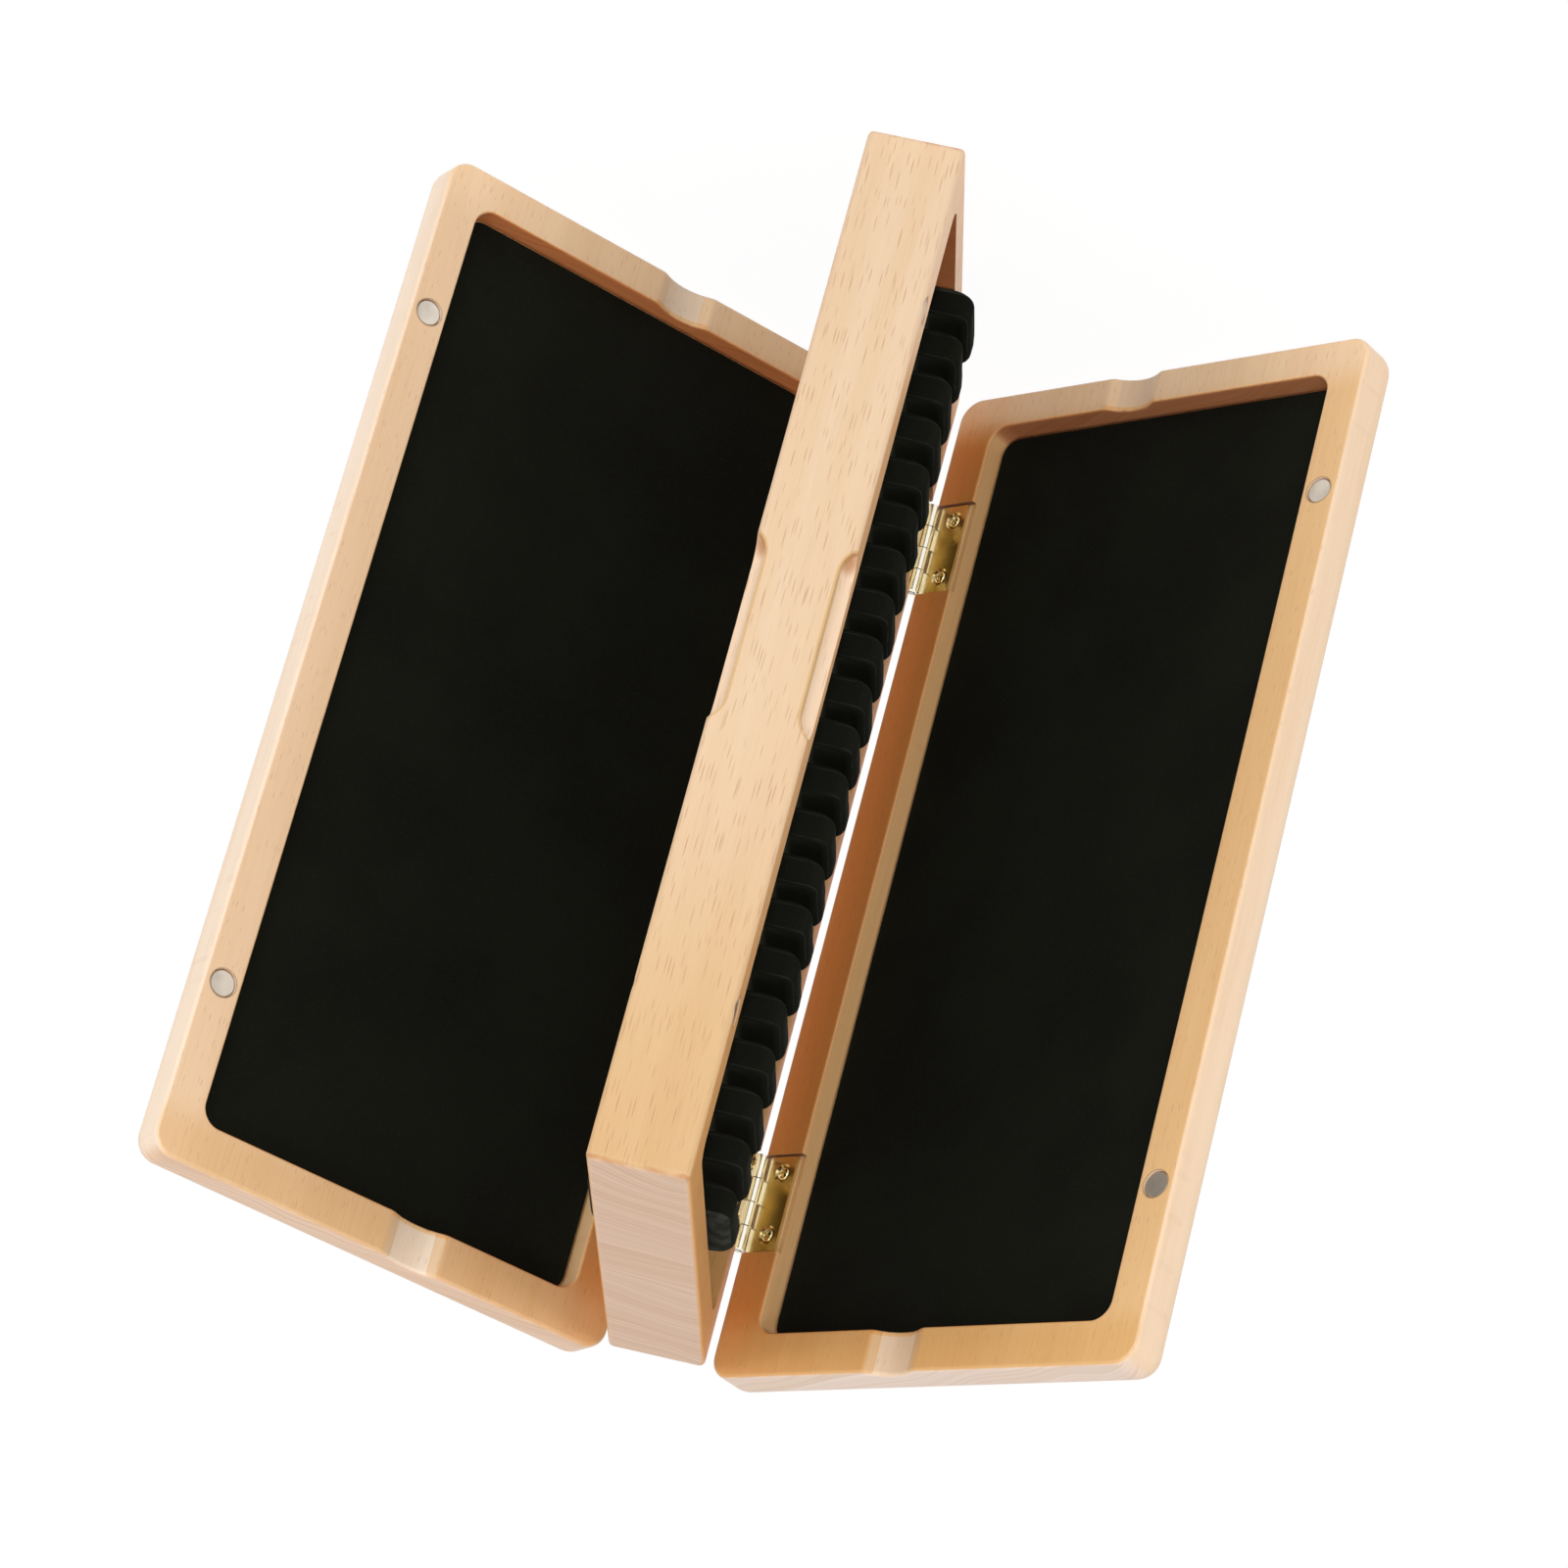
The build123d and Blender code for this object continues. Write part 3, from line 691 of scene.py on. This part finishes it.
def make_soft_pieces():
    for side, opening in OPENING.items():
        reed_bar(side)
        velvet_panel(f"{side}_pocket_velvet", frame_web / 2, 1, pocket_y, mid_z,
                     pocket_size[0] - 2 * lining_clearance, pocket_size[1] - 2 * lining_clearance,
                     pocket_corner - lining_clearance, lining_thickness, side, 0, "frame",
                     f"{side}_pocket_lining")
        velvet_panel(f"{side}_lid_velvet", panel_back_x, -1, recess_y, mid_z,
                     recess_size[0] - 2 * lining_clearance, recess_size[1] - 2 * lining_clearance,
                     recess_corner - lining_clearance, panel_thickness, side, opening, f"{side}_lid",
                     f"{side}_lid_lining")


# Hinge screws with a cross in their domed heads

def screw_mesh(place_x, facing, y, z, turn):
    """Points and faces of one screw; facing is +1 for a head towards +X, -1 towards -X."""
    points = []
    for share, rise in quarter_turn(dome_steps):
        for i in range(screw_sides):
            angle = i / screw_sides * 2 * math.pi
            u, v = share * screw_head * math.cos(angle), share * screw_head * math.sin(angle)
            along, beside = max(abs(u), abs(v)), min(abs(u), abs(v))
            arm = min(max((cross_half_width - beside) / cross_bevel + 0.5, 0.0), 1.0)
            arm *= min(max((cross_reach - along) / cross_bevel + 0.5, 0.0), 1.0)
            depth = cross_depth * arm * (1 - cross_rise * along / cross_reach)
            height = screw_dome * rise - depth
            cos, sin = math.cos(turn), math.sin(turn)
            points.append((place_x + facing * height, y + u * cos - v * sin, z + u * sin + v * cos))
    for radius, height in ((screw_shank, -screw_cone), (screw_shank, screw_point - screw_length),
                           (screw_tip, -screw_length)):
        for i in range(screw_sides):
            angle = i / screw_sides * 2 * math.pi + turn
            points.append((place_x + facing * height, y + radius * math.cos(angle), z + radius * math.sin(angle)))
    rings = [list(range(start, start + screw_sides)) for start in range(0, len(points), screw_sides)]
    return points, tube_faces(rings) + [tuple(rings[-1])]


def make_screws():
    draw = random.Random(7)
    back_y = case_width / 2
    for side, opening in OPENING.items():
        for level, hinge_z in (("lower", hinge_from_end), ("upper", case_length - hinge_from_end)):
            for body, facing in (("frame", 1), ("lid", -1)):
                points, faces = [], []
                for z in (hinge_z - screw_spacing / 2, hinge_z + screw_spacing / 2):
                    more, their_faces = screw_mesh(axis_x - facing * screw_rim_depth, facing,
                                                   back_y - screw_from_back, z, draw.uniform(0, math.pi / 2))
                    faces += [tuple(i + len(points) for i in face) for face in their_faces]
                    points += more
                mesh_piece(f"{side}_{body}_cross_screws_{level}", points, faces, side,
                           opening if body == "lid" else 0, "frame" if body == "frame" else f"{side}_lid",
                           f"{side}_{body}_screws_{level}", BRASS)


# Floor, light and background

def seen_as_white(tree):
    """1 for what the camera, a gloss or a glass sees, else 0."""
    path = tree.nodes.new("ShaderNodeLightPath")
    seen = calc(tree, "MAXIMUM", path.outputs["Is Camera Ray"], path.outputs["Is Glossy Ray"])
    return calc(tree, "MAXIMUM", seen, path.outputs["Is Transmission Ray"])


sky_strength, floor_glow, floor_share = 0.48, 1.06, 0.9
LAMPS = {                                      # place, size and power
    "left_softbox": ((-1.4, -1.0, 0.25), 0.9, 8.4),
    "right_softbox": ((1.4, -1.0, 0.25), 0.9, 8.4),
    "front_softbox": ((0.0, -1.5, 0.15), 0.9, 5.8),
    "top_softbox": ((0.0, -0.5, 1.35), 1.1, 4.5),
}


def make_world():
    world = bpy.data.worlds.new("studio")
    bpy.context.scene.world = world
    world.use_nodes = True
    tree = world.node_tree
    tree.nodes.clear()
    soft = add(tree, "ShaderNodeBackground", {"Color": (1.0, 0.985, 0.96, 1.0), "Strength": sky_strength})
    white = add(tree, "ShaderNodeBackground", {"Color": (1.0, 1.0, 1.0, 1.0), "Strength": 1.0})
    both = add(tree, "ShaderNodeMixShader", {0: seen_as_white(tree), 1: soft.outputs[0], 2: white.outputs[0]})
    out = tree.nodes.new("ShaderNodeOutputWorld")
    tree.links.new(both.outputs[0], out.inputs[0])


def make_floor():
    bpy.ops.mesh.primitive_plane_add(size=24.0, location=(0, 0, -0.0002))
    floor = bpy.context.object
    floor.name = "floor"
    material = bpy.data.materials.new("pale_floor")
    material.use_nodes = True
    tree = material.node_tree
    tree.nodes.clear()
    matt = add(tree, "ShaderNodeBsdfDiffuse", {"Color": (0.88, 0.87, 0.86, 1.0)})
    white = add(tree, "ShaderNodeEmission", {"Color": (1.0, 1.0, 1.0, 1.0), "Strength": floor_glow})
    share = product(tree, seen_as_white(tree), floor_share)
    both = add(tree, "ShaderNodeMixShader", {0: share, 1: matt.outputs[0], 2: white.outputs[0]})
    out = tree.nodes.new("ShaderNodeOutputMaterial")
    tree.links.new(both.outputs[0], out.inputs[0])
    floor.data.materials.append(material)


def make_lamp(name, place, size, energy):
    data = bpy.data.lights.new(name, "AREA")
    data.shape = "DISK"
    data.size = size
    data.energy = energy
    data.color = (1, 0.98, 0.95)
    lamp = bpy.data.objects.new(name, data)
    bpy.context.collection.objects.link(lamp)
    lamp.location = place
    aim = Vector((0.0, 0.0, 0.1))
    lamp.rotation_euler = (aim - Vector(place)).to_track_quat("-Z", "Y").to_euler()


def make_stage():
    make_world()
    make_floor()
    for name, values in LAMPS.items():
        make_lamp(name, *values)
    bpy.context.scene.view_settings.view_transform = "Standard"


make_camera()
dress_cad_nodes()
make_soft_pieces()
make_screws()
make_stage()
